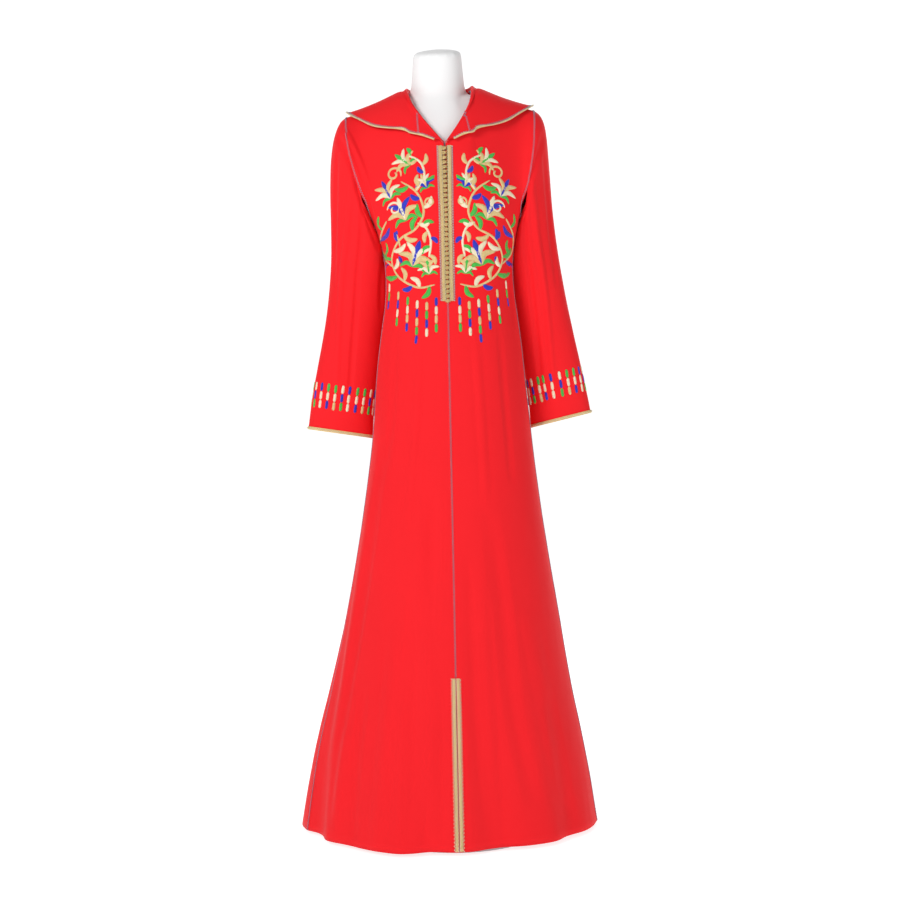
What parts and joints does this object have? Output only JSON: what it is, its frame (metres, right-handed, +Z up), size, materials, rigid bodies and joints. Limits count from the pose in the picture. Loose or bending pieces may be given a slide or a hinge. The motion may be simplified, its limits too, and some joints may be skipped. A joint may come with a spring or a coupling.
{
  "type": "djellaba on dress form",
  "caption": "Long red hooded robe with gold braid and embroidery, worn by a white limbless dress form on a pole and round foot",
  "frame": {"origin": "centre of the underside of the dress form's foot, on the floor", "axes": "+Z up, the front of the robe faces -Y, +X is the viewer's right"},
  "size_m": [0.5938, 0.4484, 1.5356],
  "materials": {
    "red_cloth": "matte crepe",
    "gold_braid": "silky braid",
    "gold_knot": "knotted cord",
    "form_white": "satin white",
    "steel": "brushed"
  },
  "bodies": {
    "root": {"front_left": "red_cloth", "front_right": "red_cloth", "back": "red_cloth", "sleeve_left": "red_cloth", "sleeve_right": "red_cloth", "hood": "red_cloth", "hood_trim": "gold_braid", "cuff_trim_left": "gold_braid", "cuff_trim_right": "gold_braid", "placket_braid_left": "gold_braid", "placket_braid_right": "gold_braid", "slit_braid_left": "gold_braid", "slit_braid_right": "gold_braid", "button_01": "gold_knot", "button_02": "gold_knot", "button_03": "gold_knot", "button_04": "gold_knot", "button_05": "gold_knot", "button_06": "gold_knot", "button_07": "gold_knot", "button_08": "gold_knot", "button_09": "gold_knot", "button_10": "gold_knot", "button_11": "gold_knot", "button_12": "gold_knot", "button_13": "gold_knot", "button_14": "gold_knot", "button_15": "gold_knot", "button_16": "gold_knot", "button_17": "gold_knot", "button_18": "gold_knot", "button_19": "gold_knot", "button_20": "gold_knot", "button_21": "gold_knot", "button_22": "gold_knot", "button_23": "gold_knot", "button_24": "gold_knot", "button_25": "gold_knot", "button_26": "gold_knot", "button_27": "gold_knot", "button_28": "gold_knot", "button_29": "gold_knot", "button_30": "gold_knot", "button_31": "gold_knot", "button_32": "gold_knot", "button_33": "gold_knot", "form_torso": "form_white", "form_pole": "steel", "form_base": "steel"}
  },
  "joints": []
}
